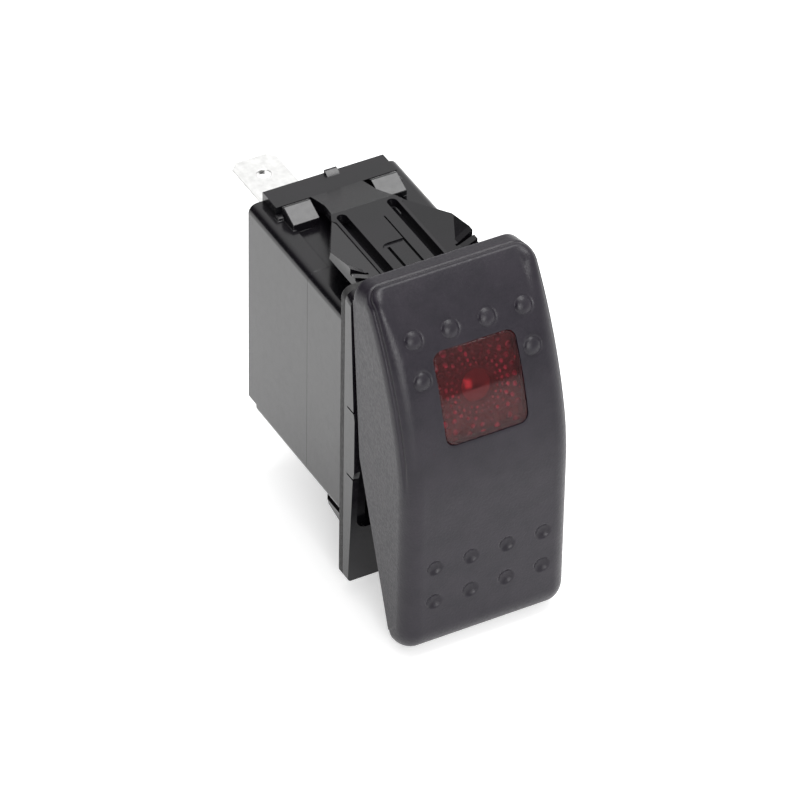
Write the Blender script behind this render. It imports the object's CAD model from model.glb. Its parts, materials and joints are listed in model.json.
import json
import math

import bmesh
import bpy
from mathutils import Matrix, Vector


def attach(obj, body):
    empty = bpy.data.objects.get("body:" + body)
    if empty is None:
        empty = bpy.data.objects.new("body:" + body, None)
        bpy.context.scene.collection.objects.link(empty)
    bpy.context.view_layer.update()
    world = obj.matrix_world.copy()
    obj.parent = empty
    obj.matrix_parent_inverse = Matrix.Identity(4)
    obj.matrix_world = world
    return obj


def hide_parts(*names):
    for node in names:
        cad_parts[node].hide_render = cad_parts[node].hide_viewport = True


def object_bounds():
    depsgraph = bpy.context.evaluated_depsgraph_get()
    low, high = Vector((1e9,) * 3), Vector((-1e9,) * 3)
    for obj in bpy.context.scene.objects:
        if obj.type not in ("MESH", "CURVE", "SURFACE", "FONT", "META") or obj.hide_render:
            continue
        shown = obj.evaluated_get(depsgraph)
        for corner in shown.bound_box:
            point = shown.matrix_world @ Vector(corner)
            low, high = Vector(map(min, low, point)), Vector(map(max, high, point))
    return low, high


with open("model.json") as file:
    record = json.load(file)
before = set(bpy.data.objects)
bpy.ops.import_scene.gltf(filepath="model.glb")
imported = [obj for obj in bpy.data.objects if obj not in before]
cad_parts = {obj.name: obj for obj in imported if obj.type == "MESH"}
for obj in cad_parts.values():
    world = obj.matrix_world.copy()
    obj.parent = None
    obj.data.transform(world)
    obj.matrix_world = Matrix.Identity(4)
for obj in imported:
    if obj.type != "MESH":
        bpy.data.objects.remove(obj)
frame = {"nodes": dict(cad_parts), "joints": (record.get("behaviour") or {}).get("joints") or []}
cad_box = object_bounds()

MM = 0.001
scene = bpy.context.scene
scene.view_settings.view_transform = "Standard"

# --- Camera ------------------------------------------------------------------
# A long lens looks down on the switch from its front left. It stands far off, so
# that parallel edges stay almost parallel.
CAMERA_AZIMUTH = math.radians(-29.11)
CAMERA_ELEVATION = math.radians(38.74)
CAMERA_ROLL = math.radians(0.92)
CAMERA_DISTANCE = 852.6 * MM
CAMERA_AIM = (-2.86 * MM, -0.13 * MM)
CAMERA_LENS = 314.3

back = Vector((math.sin(CAMERA_AZIMUTH) * math.cos(CAMERA_ELEVATION),
               -math.cos(CAMERA_AZIMUTH) * math.cos(CAMERA_ELEVATION),
               math.sin(CAMERA_ELEVATION)))
level = Vector((0, 0, 1)).cross(back).normalized()
upright = back.cross(level)
right = math.cos(CAMERA_ROLL) * level + math.sin(CAMERA_ROLL) * upright
up = math.cos(CAMERA_ROLL) * upright - math.sin(CAMERA_ROLL) * level
camera_data = bpy.data.cameras.new("camera")
camera_data.lens = CAMERA_LENS
camera_data.sensor_width = 36
camera = bpy.data.objects.new("camera", camera_data)
scene.collection.objects.link(camera)
spot = CAMERA_AIM[0] * right + CAMERA_AIM[1] * up + CAMERA_DISTANCE * back
camera.matrix_world = Matrix((right, up, back)).transposed().to_4x4()
camera.matrix_world.translation = spot
scene.camera = camera

# --- Floor and light ---------------------------------------------------------
# A white table that keeps a soft shadow, a bright studio behind and above it,
# a dim corner on the left, a soft lamp overhead and a tall one like a window.
FLOOR_HALF = 1.5
FLOOR_DROP = 0.02 * MM
FLOOR_WHITE = (0.8, 0.8, 0.8, 1)
FLOOR_GLOW = 0.46
STUDIO_BRIGHT = 1.0
STUDIO_DIM = 0.02
STUDIO_LEAN = 0.75
STUDIO_FULL = 0.75


def link(tree, source, target):
    tree.links.new(source, target)


def node(tree, kind, **settings):
    """Adds a node, with settings for its inputs or its own options."""
    made = tree.nodes.new(kind)
    for name, value in settings.items():
        if name in made.inputs:
            made.inputs[name].default_value = value
        else:
            setattr(made, name, value)
    return made


def seen_ray(tree):
    """1 for what the camera sees directly, in gloss or through clear plastic."""
    path = node(tree, "ShaderNodeLightPath")
    seen = path.outputs["Is Camera Ray"]
    for other in ("Is Glossy Ray", "Is Transmission Ray"):
        either = node(tree, "ShaderNodeMath", operation="MAXIMUM")
        link(tree, seen, either.inputs[0])
        link(tree, path.outputs[other], either.inputs[1])
        seen = either.outputs[0]
    return seen


def as_object(net, name):
    """Turns a finished bmesh into an object of the scene."""
    data = bpy.data.meshes.new(name)
    net.to_mesh(data)
    net.free()
    made = bpy.data.objects.new(name, data)
    scene.collection.objects.link(made)
    return made


floor_net = bmesh.new()
bmesh.ops.create_grid(floor_net, x_segments=1, y_segments=1, size=FLOOR_HALF)
floor = as_object(floor_net, "studio_floor")
floor.location.z = cad_box[0].z - FLOOR_DROP

floor_paint = bpy.data.materials.new("studio_floor")
floor_paint.use_nodes = True
tree = floor_paint.node_tree
tree.nodes.clear()
chalk = node(tree, "ShaderNodeBsdfDiffuse", Color=FLOOR_WHITE)
glow = node(tree, "ShaderNodeEmission", Color=(1, 1, 1, 1))
dimmed = node(tree, "ShaderNodeMath", operation="MULTIPLY")
dimmed.inputs[1].default_value = FLOOR_GLOW
link(tree, seen_ray(tree), dimmed.inputs[0])
link(tree, dimmed.outputs[0], glow.inputs["Strength"])
both = node(tree, "ShaderNodeAddShader")
link(tree, chalk.outputs[0], both.inputs[0])
link(tree, glow.outputs[0], both.inputs[1])
out = node(tree, "ShaderNodeOutputMaterial")
link(tree, both.outputs[0], out.inputs["Surface"])
floor.data.materials.append(floor_paint)

studio = bpy.data.worlds.new("studio")
studio.use_nodes = True
scene.world = studio
tree = studio.node_tree
tree.nodes.clear()
where = node(tree, "ShaderNodeTexCoord")
split = node(tree, "ShaderNodeSeparateXYZ")
link(tree, where.outputs["Generated"], split.inputs[0])
# Brightness grows from the low left towards the upper right.
lean = node(tree, "ShaderNodeMath", operation="MULTIPLY_ADD")
lean.inputs[1].default_value = STUDIO_LEAN
link(tree, split.outputs["X"], lean.inputs[0])
link(tree, split.outputs["Z"], lean.inputs[2])
ramp = node(tree, "ShaderNodeMapRange", interpolation_type="SMOOTHSTEP")
ramp.inputs["From Min"].default_value = 0.0
ramp.inputs["From Max"].default_value = STUDIO_FULL
ramp.inputs["To Min"].default_value = STUDIO_DIM
ramp.inputs["To Max"].default_value = STUDIO_BRIGHT
link(tree, lean.outputs[0], ramp.inputs["Value"])
path = node(tree, "ShaderNodeLightPath")
keep_white = node(tree, "ShaderNodeMath", operation="MAXIMUM")
link(tree, ramp.outputs[0], keep_white.inputs[0])
link(tree, path.outputs["Is Camera Ray"], keep_white.inputs[1])
sky = node(tree, "ShaderNodeBackground", Color=(1, 1, 1, 1))
link(tree, keep_white.outputs[0], sky.inputs["Strength"])
out = node(tree, "ShaderNodeOutputWorld")
link(tree, sky.outputs[0], out.inputs["Surface"])


def soft_lamp(name, place, width, height, power):
    """A rectangular area lamp that faces the switch."""
    data = bpy.data.lights.new(name, "AREA")
    data.shape = "RECTANGLE"
    data.size = width
    data.size_y = height
    data.energy = power
    lamp = bpy.data.objects.new(name, data)
    lamp.location = place
    lamp.rotation_euler = (-Vector(place)).to_track_quat("-Z", "Y").to_euler()
    scene.collection.objects.link(lamp)


soft_lamp("lamp_over", place=(0.2, 0.05, 0.85), width=0.5, height=0.5, power=5)
soft_lamp("lamp_window", place=(-0.31, -0.82, 0.40), width=0.44, height=0.66, power=6.5)


# --- Black moulded bodies ----------------------------------------------------
# The base and the bracket are injection moulded in glossy black thermoplastic and
# clip together. Small radii break their edges, and the long walls sink faintly.
BLACK_GLOSS = 0.18
BASE_EDGE = 0.12 * MM
BRACKET_EDGE = 0.1 * MM
SAME_POINT = 0.0005 * MM
SAME_PLANE = math.radians(0.4)
SHARP_EDGE = math.radians(34)
BROAD_FOLD = math.radians(6)
BROAD_FACE = 0.7 * MM


def surface_noise(tree, scale, detail=2.0, stretch=(1, 1, 1)):
    """Noise laid out in the part's own millimetres."""
    where = node(tree, "ShaderNodeTexCoord")
    place = node(tree, "ShaderNodeMapping")
    place.inputs["Scale"].default_value = [1000 * s for s in stretch]
    link(tree, where.outputs["Object"], place.inputs["Vector"])
    noise = node(tree, "ShaderNodeTexNoise", Scale=scale, Detail=detail)
    link(tree, place.outputs[0], noise.inputs["Vector"])
    return noise.outputs["Fac"]


def ranged(tree, value, low, high, start=0.35, end=0.65):
    """Stretches a noise's middle range to run from low to high."""
    spread = node(tree, "ShaderNodeMapRange")
    spread.inputs["From Min"].default_value = start
    spread.inputs["From Max"].default_value = end
    spread.inputs["To Min"].default_value = low
    spread.inputs["To Max"].default_value = high
    link(tree, value, spread.inputs["Value"])
    return spread.outputs[0]


def mottled(tree, shader, noise, dark, light, start=0.35, end=0.65):
    """Colours a finish in soft patches between two shades."""
    mix = node(tree, "ShaderNodeMix", data_type="RGBA")
    factor, first, second = mix.inputs[0], mix.inputs[6], mix.inputs[7]
    link(tree, ranged(tree, noise, 0, 1, start, end), factor)
    first.default_value = (*dark, 1)
    second.default_value = (*light, 1)
    link(tree, mix.outputs[2], shader.inputs["Base Color"])


def uneven_gloss(tree, shader, noise, smooth, rough):
    """Lets the roughness of a finish wander between two values."""
    link(tree, ranged(tree, noise, smooth, rough), shader.inputs["Roughness"])


def bumped(tree, shader, layers):
    """Stacks bump layers, each a value, a strength and a height in metres."""
    last = None
    for value, strength, height in layers:
        bump = node(tree, "ShaderNodeBump", Strength=strength, Distance=height)
        link(tree, value, bump.inputs["Height"])
        if last:
            link(tree, last, bump.inputs["Normal"])
        last = bump.outputs[0]
    link(tree, last, shader.inputs["Normal"])


def new_finish(name, **settings):
    """An empty procedural material around one Principled shader."""
    finish = bpy.data.materials.new(name)
    finish.use_nodes = True
    tree = finish.node_tree
    shader = tree.nodes["Principled BSDF"]
    for key, value in settings.items():
        shader.inputs[key.replace("_", " ")].default_value = value
    return finish, tree, shader


def black_plastic(name):
    """Glossy black, a little uneven where the moulding sank as it cooled."""
    finish, tree, shader = new_finish(name, IOR=1.5)
    mottled(tree, shader, surface_noise(tree, 0.16, 3), (0.004, 0.004, 0.005), (0.006, 0.005, 0.007))
    uneven_gloss(tree, shader, surface_noise(tree, 1.3, 4), BLACK_GLOSS, BLACK_GLOSS + 0.07)
    bumped(tree, shader, [(surface_noise(tree, 0.11, 1), 0.25, 0.12 * MM),
                          (surface_noise(tree, 9, 3), 0.10, 0.01 * MM)])
    return finish


def face_width(face):
    return face.calc_area() / max(edge.calc_length() for edge in face.edges)


def is_corner(edge):
    """True for a sharp edge, and for a shallow fold between two broad faces."""
    turn = edge.calc_face_angle(0)
    if turn > SHARP_EDGE:
        return True
    return turn > BROAD_FOLD and min(face_width(face) for face in edge.link_faces) > BROAD_FACE


def true_flats(piece):
    """Lets broad faces shade flat and narrow strips shade round."""
    flats = piece.modifiers.new("true_flats", "WEIGHTED_NORMAL")
    flats.mode = "FACE_AREA"
    flats.weight = 100


def edge_radius(piece, radius, limit):
    """Rounds a piece's edges, by their weights or past an angle."""
    rounding = piece.modifiers.new("edge_radius", "BEVEL")
    rounding.width = radius
    rounding.segments = 2
    rounding.limit_method = limit
    return rounding


def finished_copy(name, source, radius, finish):
    """A copy of one of the housing's CAD solids, its edges rounded, in its finish."""
    solid = bmesh.new()
    solid.from_mesh(frame["nodes"][source].data)
    bmesh.ops.remove_doubles(solid, verts=solid.verts, dist=SAME_POINT)
    bmesh.ops.dissolve_limit(solid, angle_limit=SAME_PLANE, verts=solid.verts, edges=solid.edges)
    bmesh.ops.recalc_face_normals(solid, faces=solid.faces)
    weight = solid.edges.layers.float.new("bevel_weight_edge")
    for edge in solid.edges:
        edge[weight] = 1.0 if is_corner(edge) else 0.0
    piece = as_object(solid, name)
    piece.data.shade_smooth()
    edge_radius(piece, radius, "WEIGHT")
    true_flats(piece)
    piece.data.materials.append(finish)
    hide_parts(source)
    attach(piece, "housing")


finished_copy("base_moulding", "base_housing", BASE_EDGE, black_plastic("base_black"))
finished_copy("bracket_moulding", "mounting_bracket", BRACKET_EDGE, black_plastic("bracket_black"))

# --- Rubber gasket and seal --------------------------------------------------
# A ring of black rubber is die cut and sits behind the bezel, where the panel
# presses it. A thin frame of the same rubber is squeezed between the mouldings.
GASKET_EDGE = 0.15 * MM

rubber, tree, shader = new_finish("gasket_rubber_matte", IOR=1.5)
mottled(tree, shader, surface_noise(tree, 2, 3), (0.012, 0.012, 0.012), (0.022, 0.021, 0.021))
uneven_gloss(tree, shader, surface_noise(tree, 4, 3), 0.55, 0.75)
bumped(tree, shader, [(surface_noise(tree, 12, 2), 0.3, 0.02 * MM)])
finished_copy("gasket_ring", "panel_gasket", GASKET_EDGE, rubber)
frame["nodes"]["base_seal"].material_slots[0].material = rubber

# --- Rocker cap --------------------------------------------------------------
# One matt moulding of even wall: an arched upper half, a knee and a flat paddle,
# with raised domes above, sunk dimples below and a window for the lens. It snaps
# onto the inner lever. Sizes are in millimetres, upright and from the pivot.
CAP_X = 11.45
CAP_Z = 25.05
CAP_WALL = 1.45
CAP_EDGE = 0.05 * MM
CAP_SHARP = math.radians(55)
ARCH_R = 53
KNEE_R = 30
CROWN_D = 9.27
CROWN_Z = 3.6
CROWN_ROLL = 3
TOE_ROLL = 4
PADDLE = math.radians(13)
EDGE_R = 2.4
FLAT_X = CAP_X - EDGE_R
SKIRT_Y = 3.3
SKIRT_SLOPE = math.radians(7.3)
LENS_X = 5.65
LENS_Z = 6.05
LENS_MID = 10.75
LENS_CORNER = 1.3
WINDOW_FADE = 1.2
TINY = 1e-6

tilt = next(joint for joint in frame["joints"] if joint["name"] == "rocker_tilt")
pivot = Matrix.Translation(Vector(tilt["pos_m"]))
rest_tilt = math.radians(tilt["range_deg"][1] / 2)
on_rocker = pivot @ Matrix.Rotation(-rest_tilt, 4, "X") @ Matrix.Scale(MM, 4)

crown_angle = math.asin((CAP_Z - CROWN_Z - CROWN_ROLL) / (ARCH_R - CROWN_ROLL))
arch_centre = Vector((ARCH_R - CROWN_D, CROWN_Z))
knee_centre = Vector((KNEE_R - CROWN_D, CROWN_Z))
crown_centre = arch_centre + (ARCH_R - CROWN_ROLL) * Vector((-math.cos(crown_angle), math.sin(crown_angle)))
paddle_out = Vector((-math.cos(PADDLE), -math.sin(PADDLE)))
knee_end = knee_centre + KNEE_R * paddle_out
toe_z = TOE_ROLL - CAP_Z
toe_centre = Vector(((knee_end.dot(paddle_out) - TOE_ROLL - toe_z * paddle_out.y) / paddle_out.x, toe_z))
crown_start = Vector((crown_centre.x, CAP_Z))
crown_skirt = Vector((SKIRT_Y - CAP_Z * math.tan(SKIRT_SLOPE), CAP_Z))

# The side view as stretches of length, each an arc or a straight line.
STRETCHES = [("line", crown_skirt, crown_start),
             ("arc", crown_centre, CROWN_ROLL, math.pi / 2, math.pi - crown_angle),
             ("arc", arch_centre, ARCH_R, math.pi - crown_angle, math.pi),
             ("arc", knee_centre, KNEE_R, math.pi, math.pi + PADDLE),
             ("line", knee_end, toe_centre + TOE_ROLL * paddle_out),
             ("arc", toe_centre, TOE_ROLL, math.pi + PADDLE, 1.5 * math.pi),
             ("line", Vector((toe_centre.x, -CAP_Z)), Vector((crown_skirt.x, -CAP_Z)))]


def stretch_length(stretch):
    if stretch[0] == "line":
        return (stretch[2] - stretch[1]).length
    return stretch[2] * abs(stretch[4] - stretch[3])


starts = [0.0]
for stretch in STRETCHES:
    starts.append(starts[-1] + stretch_length(stretch))


def side_view(along):
    """The point and the outward direction at a length along the side view."""
    index = max(i for i in range(len(STRETCHES)) if along >= starts[i] - TINY)
    stretch, rest = STRETCHES[index], along - starts[index]
    if stretch[0] == "line":
        way = (stretch[2] - stretch[1]).normalized()
        return stretch[1] + rest * way, Vector((way.y, -way.x))
    angle = stretch[3] + rest / stretch[2]
    out = Vector((math.cos(angle), math.sin(angle)))
    return stretch[1] + stretch[2] * out, out


def along_arch(height):
    """The length along the side view at a height over the axis, on the arch."""
    return starts[3] - ARCH_R * math.asin((height - CROWN_Z) / ARCH_R)


DOME_PITCH = 5
DOME_R = 1.14
DOME_H = 0.42
DOME_ROW = 18.9
DOME_BESIDE = 13.9
DOME_TROUGH = 0.08
TROUGH_MID = 1.03
TROUGH_HALF = 0.21
DIMPLE_R = 1.12
DIMPLE_H = 0.5
DIMPLE_ROWS = (9.5, 14.8)
RELIEF_REACH = 2
GROOVE_DEPTH = 0.2
GROOVE_HALF = 0.42
GROOVE_X = CAP_X
GROOVE_TOP = starts[1] - 0.45
GROOVE_CORNER = 2.2
GROOVE_FADE = (along_arch(4.5), along_arch(-1.0) + 0.5)
row_of_four = [count * DOME_PITCH / 2 for count in (-3, -1, 1, 3)]
domes = [(x, along_arch(DOME_ROW)) for x in row_of_four]
domes += [(side * 1.5 * DOME_PITCH, along_arch(DOME_BESIDE)) for side in (-1, 1)]
dimples = [(x, starts[4] + row) for x in row_of_four for row in DIMPLE_ROWS]
lens_top = along_arch(LENS_MID + LENS_Z)
lens_foot = along_arch(LENS_MID - LENS_Z)


def smooth_step(value):
    """Eases from 0 to 1."""
    value = min(max(value, 0), 1)
    return value * value * (3 - 2 * value)


def faded(place, start, end):
    """Eases from 0 at the start of a stretch to 1 at its end."""
    return smooth_step((place - start) / (end - start))


def bowl(distance, radius, height, trough=0.0):
    """A cap of a ball, with a fine ring-shaped trough around its foot."""
    ball = (radius ** 2 + height ** 2) / (2 * height)
    ring = trough * smooth_step(1 - abs(distance / radius - TROUGH_MID) / TROUGH_HALF)
    if distance >= radius:
        return -ring
    return math.sqrt(ball ** 2 - distance ** 2) - (ball - height) - ring


def groove_distance(across, along):
    """Distance to the groove that frames the upper front."""
    corner = Vector((GROOVE_X - GROOVE_CORNER, GROOVE_TOP + GROOVE_CORNER))
    p, q = abs(across) - corner.x, corner.y - along
    if p > 0 and q > 0:
        return abs(math.hypot(p, q) - GROOVE_CORNER)
    if q <= 0:
        return abs(abs(across) - GROOVE_X)
    return abs(along - GROOVE_TOP)


# Near its top the front bends back gently, and meets the top face in a tight edge.
BEND_R = 22
BROW_R = 0.6
BROW_Y = -2.9
BROW_FADE = (FLAT_X - 0.4, FLAT_X + 1.8)
brow_centre = Vector((BROW_Y, CAP_Z - BROW_R))
to_brow = brow_centre - arch_centre
bend_angle = math.atan2(to_brow.y, -to_brow.x) - math.acos(
    ((ARCH_R - BEND_R) ** 2 + to_brow.length ** 2 - (BEND_R - BROW_R) ** 2)
    / (2 * (ARCH_R - BEND_R) * to_brow.length))
bend_centre = arch_centre + (ARCH_R - BEND_R) * Vector((-math.cos(bend_angle), math.sin(bend_angle)))


def depth_to_circle(point, out, centre, radius):
    """How deep below a point a circle lies, and where on it; None if it is missed."""
    offset = point - centre
    reach = offset.dot(out)
    rest = reach ** 2 - offset.length_squared + radius ** 2
    if rest < 0:
        return None
    depth = reach - math.sqrt(rest)
    return depth, point - depth * out - centre


def brow_drop(across, along):
    """How far the front lies below its plain roll near the top."""
    if along < starts[1] or along > along_arch(CROWN_Z + ARCH_R * math.sin(bend_angle)):
        return 0.0
    point, out = side_view(along)
    to_end = brow_centre - bend_centre
    found = depth_to_circle(point, out, bend_centre, BEND_R)
    if found is None or found[1].y * -to_end.x > -found[1].x * to_end.y:
        found = depth_to_circle(point, out, brow_centre, BROW_R)
        if found is None or found[1].x > 0:
            found = ((point.y - CAP_Z) / max(out.y, 0.1), None)
    return found[0] * (1 - faded(abs(across), *BROW_FADE))


def relief(across, along):
    """Height of the front over its plain form: bend, domes, dimples and groove."""
    height = 0
    for x, row in domes:
        distance = math.hypot(across - x, along - row)
        if distance < RELIEF_REACH:
            height += bowl(distance, DOME_R, DOME_H, DOME_TROUGH)
    for x, row in dimples:
        distance = math.hypot(across - x, along - row)
        if distance < RELIEF_REACH:
            height -= bowl(distance, DIMPLE_R, DIMPLE_H)
    near = groove_distance(across, along) / GROOVE_HALF
    if near < 1:
        fade = 1 - faded(along, *GROOVE_FADE)
        height -= GROOVE_DEPTH * fade * 0.5 * (1 + math.cos(math.pi * near))
    return height - brow_drop(across, along)


def spaced(stops, steps):
    """Positions between stops, closer together in the stretches with small steps."""
    places = []
    for (low, high), step in zip(zip(stops, stops[1:]), steps):
        count = max(1, round((high - low) / step))
        places += [low + (high - low) * i / count for i in range(count)]
    return places + [stops[-1]]


# The net of the skin is fine at the domes, the dimples and the groove, coarse between.
FINE = 0.118
across_stops = [0, 1.1, 3.9, LENS_X, 6.1, 9.0, FLAT_X, GROOVE_X - 0.6, GROOVE_X + 0.6,
                FLAT_X + EDGE_R * math.pi / 2]
half_columns = spaced(across_stops, [0.4, FINE, 0.3, 0.2, FINE, 0.1, 0.2, 0.09, 0.2])
columns = [-c for c in reversed(half_columns[1:])] + half_columns
along_stops = [0, GROOVE_TOP - 0.6, starts[1] + 1.2, starts[2] + 1.2, along_arch(20.4), along_arch(17.4),
               lens_top, along_arch(15.4), along_arch(12.4), lens_foot, starts[3], starts[4],
               starts[4] + 7.9, starts[4] + 16.4, starts[5], starts[6], starts[7]]
rows = spaced(along_stops, [0.5, 0.08, 0.2, 0.4, FINE, 0.25, 0.25, FINE, 0.35, 0.6, 0.9, 0.9, FINE, 0.5,
                            0.3, 1.5])


def skin_point(across, along, depth=0.0):
    """A place on the cap from its two lengths, sunk by depth."""
    foot, out = side_view(along)
    over = abs(across) - FLAT_X
    turn = min(max(over, 0) / EDGE_R, math.pi / 2)
    inward = EDGE_R * (1 - math.cos(turn))
    reach = (EDGE_R - depth) * math.sin(turn) if over > 0 else over
    sunk = foot - (inward + depth * math.cos(turn)) * out
    return Vector((math.copysign(FLAT_X + reach, across), sunk.x, sunk.y))


def round_window(across, along):
    """Bends the square net so that its window lines gain round corners."""
    p = (abs(across) - (LENS_X - LENS_CORNER)) / LENS_CORNER
    low = along - (lens_foot - LENS_CORNER)
    high = (lens_top + LENS_CORNER) - along
    q = max(low, high) / LENS_CORNER
    if p <= 0 or q <= 0:
        return across, along
    most = max(p, q)
    pull = 1 + (most / math.hypot(p, q) - 1) * (1 - smooth_step((most - 1) / WINDOW_FADE))
    across = math.copysign(LENS_X - LENS_CORNER + p * pull * LENS_CORNER, across)
    if low > high:
        return across, lens_foot - LENS_CORNER + q * pull * LENS_CORNER
    return across, lens_top + LENS_CORNER - q * pull * LENS_CORNER


def cap_skin():
    """The outer skin, a grid laid over the form with the window left out."""
    net = bmesh.new()
    bmesh.ops.create_grid(net, x_segments=len(columns) - 1, y_segments=len(rows) - 1, size=0.5)
    window = []
    for face in net.faces:
        centre = face.calc_center_median()
        across = columns[int((centre.x + 0.5) * (len(columns) - 1))]
        along = rows[int((centre.y + 0.5) * (len(rows) - 1))]
        inside = -LENS_X - TINY <= across < LENS_X - TINY
        if inside and lens_top - TINY <= along < lens_foot - TINY:
            window.append(face)
    for vert in net.verts:
        across = columns[round((vert.co.x + 0.5) * (len(columns) - 1))]
        along = rows[round((vert.co.y + 0.5) * (len(rows) - 1))]
        across, along = round_window(across, along)
        vert.co = skin_point(across, along, -relief(across, along))
    bmesh.ops.delete(net, geom=window, context="FACES")
    return net


def close_side(skin, side):
    """A side wall, which closes the form between the edge roll and the rear border."""
    border = [edge for edge in skin.edges if edge.is_boundary
              and all(abs(vert.co.x - side * CAP_X) < 100 * TINY for vert in edge.verts)]
    ends = [vert for vert in {vert for edge in border for vert in edge.verts}
            if sum(edge in border for edge in vert.link_edges) == 1]
    low, high = sorted(ends, key=lambda vert: vert.co.z)
    middle = skin.verts.new((side * CAP_X, SKIRT_Y, 0))
    foot = skin.verts.new((side * CAP_X, SKIRT_Y - abs(low.co.z) * math.tan(SKIRT_SLOPE), low.co.z))
    head = skin.verts.new((side * CAP_X, SKIRT_Y - abs(high.co.z) * math.tan(SKIRT_SLOPE), high.co.z))
    rear = [skin.edges.new(pair) for pair in ((low, foot), (foot, middle), (middle, head), (head, high))]
    bmesh.ops.contextual_create(skin, geom=border + rear)


skin = cap_skin()
close_side(skin, -1)
close_side(skin, 1)
bmesh.ops.triangulate(skin, faces=[face for face in skin.faces if len(face.verts) > 4])
bmesh.ops.recalc_face_normals(skin, faces=skin.faces)
skin.transform(on_rocker)
cap = as_object(skin, "rocker_moulding")
cap.data.shade_smooth()
wall = cap.modifiers.new("wall", "SOLIDIFY")
wall.thickness = CAP_WALL * MM
wall.offset = -1
edge_radius(cap, CAP_EDGE, "ANGLE").angle_limit = CAP_SHARP
true_flats(cap)

cap_black, tree, shader = new_finish("rocker_black_grained", Specular_IOR_Level=0.34)
mottled(tree, shader, surface_noise(tree, 0.35, 4), (0.009, 0.007, 0.012), (0.014, 0.011, 0.017))
uneven_gloss(tree, shader, surface_noise(tree, 2.5, 3), 0.33, 0.43)
bumped(tree, shader, [(surface_noise(tree, 3.2, 4), 0.5, 0.05 * MM),
                      (surface_noise(tree, 14, 2), 0.4, 0.015 * MM)])
cap.data.materials.append(cap_black)
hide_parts("rocker_cap")
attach(cap, "rocker")

# --- Lens --------------------------------------------------------------------
# A clear red cover, flush with the arch, is pressed into the window. Behind it a
# moulded red plate spreads the light of the lamp, with rings of small pips around
# one large smooth dome.
LENS_GAP = 0.08
COVER_T = 0.4
COVER_STEP = 0.35
COVER_EDGE = 0.12 * MM
PATTERN_DEPTH = 1.28
PATTERN_T = 0.5
PATTERN_STEP = 0.075
LENS_SHARP = math.radians(50)
CENTRE_DOME = (2.1, 0.68)
# Each ring of pips: its radius, the number of pips, and a pip's radius and height.
RINGS = [(2.75, 22, 0.17, 0.12), (3.4, 25, 0.2, 0.14), (4.2, 25, 0.26, 0.2), (5.15, 24, 0.33, 0.24),
         (6.25, 20, 0.46, 0.32), (7.4, 21, 0.52, 0.34)]
PIP_REACH = 1.3
PIP_FOOT = 0.05


def plain_height(across, off):
    return 0


def pattern_height(across, off):
    """Height of the dome and the pips over the plate, at a place from its middle."""
    distance = math.hypot(across, off)
    height = bowl(distance, *CENTRE_DOME)
    angle = math.atan2(off, across)
    for ring, count, radius, rise in RINGS:
        if abs(distance - ring) < radius * PIP_REACH:
            step = 2 * math.pi / count
            near = round(angle / step) * step
            beside = across - ring * math.cos(near)
            below = off - ring * math.sin(near)
            height += bowl(math.hypot(beside, below), radius, rise)
    return height


def lens_plate(name, front_depth, thickness, step, height_at):
    """A plate that fits the window, with a relief on its front and a plain back."""
    half = (lens_foot - lens_top) / 2
    mid = (lens_foot + lens_top) / 2
    shrink_x = (LENS_X - LENS_GAP) / LENS_X
    shrink_z = (half - LENS_GAP) / half
    plate = bmesh.new()
    per_line = round(2 * LENS_X / step) + 1
    bmesh.ops.create_grid(plate, x_segments=per_line - 1, y_segments=round(2 * half / step), size=0.5)
    for vert in plate.verts:
        across = vert.co.x * 2 * LENS_X
        off = vert.co.y * 2 * half
        p = abs(across) - (LENS_X - LENS_CORNER)
        q = abs(off) - (half - LENS_CORNER)
        if p > 0 and q > 0:
            pull = max(p, q) / math.hypot(p, q)
            across = math.copysign(LENS_X - LENS_CORNER + p * pull, across)
            off = math.copysign(half - LENS_CORNER + q * pull, off)
        across, off = across * shrink_x, off * shrink_z
        vert.co = skin_point(across, mid + off, front_depth - height_at(across, off))
    front = list(plate.verts)
    lines = [front[start:start + per_line] for start in range(0, len(front), per_line)]
    rim = lines[0] + [line[-1] for line in lines[1:]]
    rim += lines[-1][-2::-1] + [line[0] for line in lines[-2:0:-1]]
    back = {}
    for vert in rim:
        centre = Vector((vert.co.x, *arch_centre))
        back[vert] = plate.verts.new(vert.co + (centre - vert.co).normalized() * thickness)
    for here, ahead in zip(rim, rim[1:] + rim[:1]):
        plate.faces.new((here, ahead, back[ahead], back[here]))
    for low, high in zip(lines, lines[1:]):
        plate.faces.new((back[low[0]], back[low[-1]], back[high[-1]], back[high[0]]))
    for line in (lines[0], lines[-1]):
        plate.faces.new([back[vert] for vert in line])
    bmesh.ops.recalc_face_normals(plate, faces=plate.faces)
    plate.transform(on_rocker)
    piece = as_object(plate, name)
    piece.data.shade_smooth()
    piece.data.set_sharp_from_angle(angle=LENS_SHARP)
    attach(piece, "rocker")
    return piece


pattern = lens_plate("lens_pattern", PATTERN_DEPTH, PATTERN_T, PATTERN_STEP, pattern_height)
plate_red, tree, shader = new_finish("red_pattern", Roughness=0.24, IOR=2.4, Specular_Tint=(1, 0.06, 0.09, 1))
mottled(tree, shader, surface_noise(tree, 0.5, 2), (0.035, 0.012, 0.010), (0.075, 0.022, 0.022))
pip_red, tree, shader = new_finish("red_pips", Roughness=0.3, Metallic=0.75)
mottled(tree, shader, surface_noise(tree, 0.6, 0), (0.16, 0.022, 0.03), (1.0, 0.06, 0.12), 0.42, 0.68)
dome_red, tree, shader = new_finish("red_centre_dome", Roughness=0.19, IOR=2.9, Specular_IOR_Level=0.85,
                                    Specular_Tint=(1, 0.05, 0.07, 1))
mottled(tree, shader, surface_noise(tree, 0.8, 2), (0.016, 0.008, 0.007), (0.030, 0.012, 0.011))
for red in (plate_red, pip_red, dome_red):
    pattern.data.materials.append(red)
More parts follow.
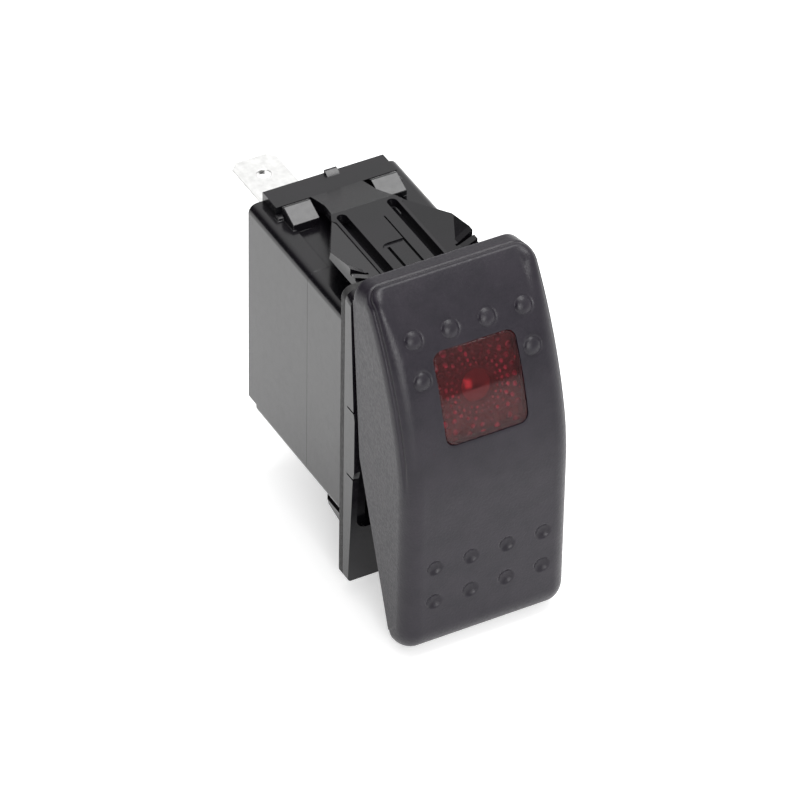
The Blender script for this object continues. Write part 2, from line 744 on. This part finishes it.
from_rocker = on_rocker.inverted()
for face in pattern.data.polygons:
    place = from_rocker @ face.center
    across, off = place.x, LENS_MID - place.z
    if math.hypot(across, off) < CENTRE_DOME[0]:
        face.material_index = 2
    elif pattern_height(across, off) > PIP_FOOT:
        face.material_index = 1

cover = lens_plate("lens_cover", 0, COVER_T, COVER_STEP, plain_height)
edge_radius(cover, COVER_EDGE, "ANGLE").angle_limit = LENS_SHARP
clear_red, tree, shader = new_finish("clear_red", Roughness=0.04, Alpha=0.42)
mottled(tree, shader, surface_noise(tree, 0.6, 2), (0.030, 0.006, 0.007), (0.045, 0.009, 0.010))
cover.data.materials.append(clear_red)
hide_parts("rocker_lens")

# --- Terminals ---------------------------------------------------------------
# Three push-on tabs are stamped from brass sheet, tinned bright, softly brushed
# along their length, and pushed through slots in the back of the base.
TAB_EDGE = 0.08 * MM

tin, tree, shader = new_finish("tinned_sheet", Metallic=1.0)
mottled(tree, shader, surface_noise(tree, 1.2, 3), (0.78, 0.78, 0.77), (0.88, 0.88, 0.87))
uneven_gloss(tree, shader, surface_noise(tree, 3, 3, (1, 0.1, 1)), 0.3, 0.42)
bumped(tree, shader, [(surface_noise(tree, 6, 2, (1, 0.08, 1)), 0.2, 0.01 * MM)])
for source in ("line_terminal", "load_terminal", "lamp_terminal"):
    finished_copy(source + "_blade", source, TAB_EDGE, tin)


# --- Parts inside ------------------------------------------------------------
# The lever, the plunger, the springs, the contacts and the lamp are hidden by the
# mouldings, or show only through gaps. Each keeps its CAD solid and gets the
# finish of its material.
def inner_finish(name, dark, light, roughness, metallic, *sources):
    finish, tree, shader = new_finish(name, Metallic=metallic)
    mottled(tree, shader, surface_noise(tree, 2, 3), dark, light)
    uneven_gloss(tree, shader, surface_noise(tree, 4, 3), roughness, roughness + 0.1)
    for source in sources:
        frame["nodes"][source].material_slots[0].material = finish


inner_finish("lever_white", (0.62, 0.60, 0.55), (0.70, 0.68, 0.63), 0.4, 0, "rocker_lever", "plunger")
inner_finish("spring_wire", (0.55, 0.55, 0.56), (0.70, 0.70, 0.71), 0.25, 1, "plunger_spring",
             "lamp_feed_spring", "lamp_return_spring")
inner_finish("spring_brass", (0.60, 0.42, 0.16), (0.72, 0.53, 0.24), 0.28, 1, "contact_blade",
             "lamp_feed_strip")
inner_finish("contact_silver_face", (0.80, 0.80, 0.79), (0.92, 0.92, 0.90), 0.25, 1, "moving_contact",
             "load_contact")
inner_finish("green_laminate", (0.03, 0.13, 0.05), (0.05, 0.19, 0.07), 0.35, 0, "lamp_board")
inner_finish("red_epoxy", (0.45, 0.02, 0.03), (0.6, 0.03, 0.04), 0.12, 0, "lamp_led")
inner_finish("resistor_coat", (0.62, 0.50, 0.32), (0.72, 0.60, 0.40), 0.4, 0, "lamp_resistor")
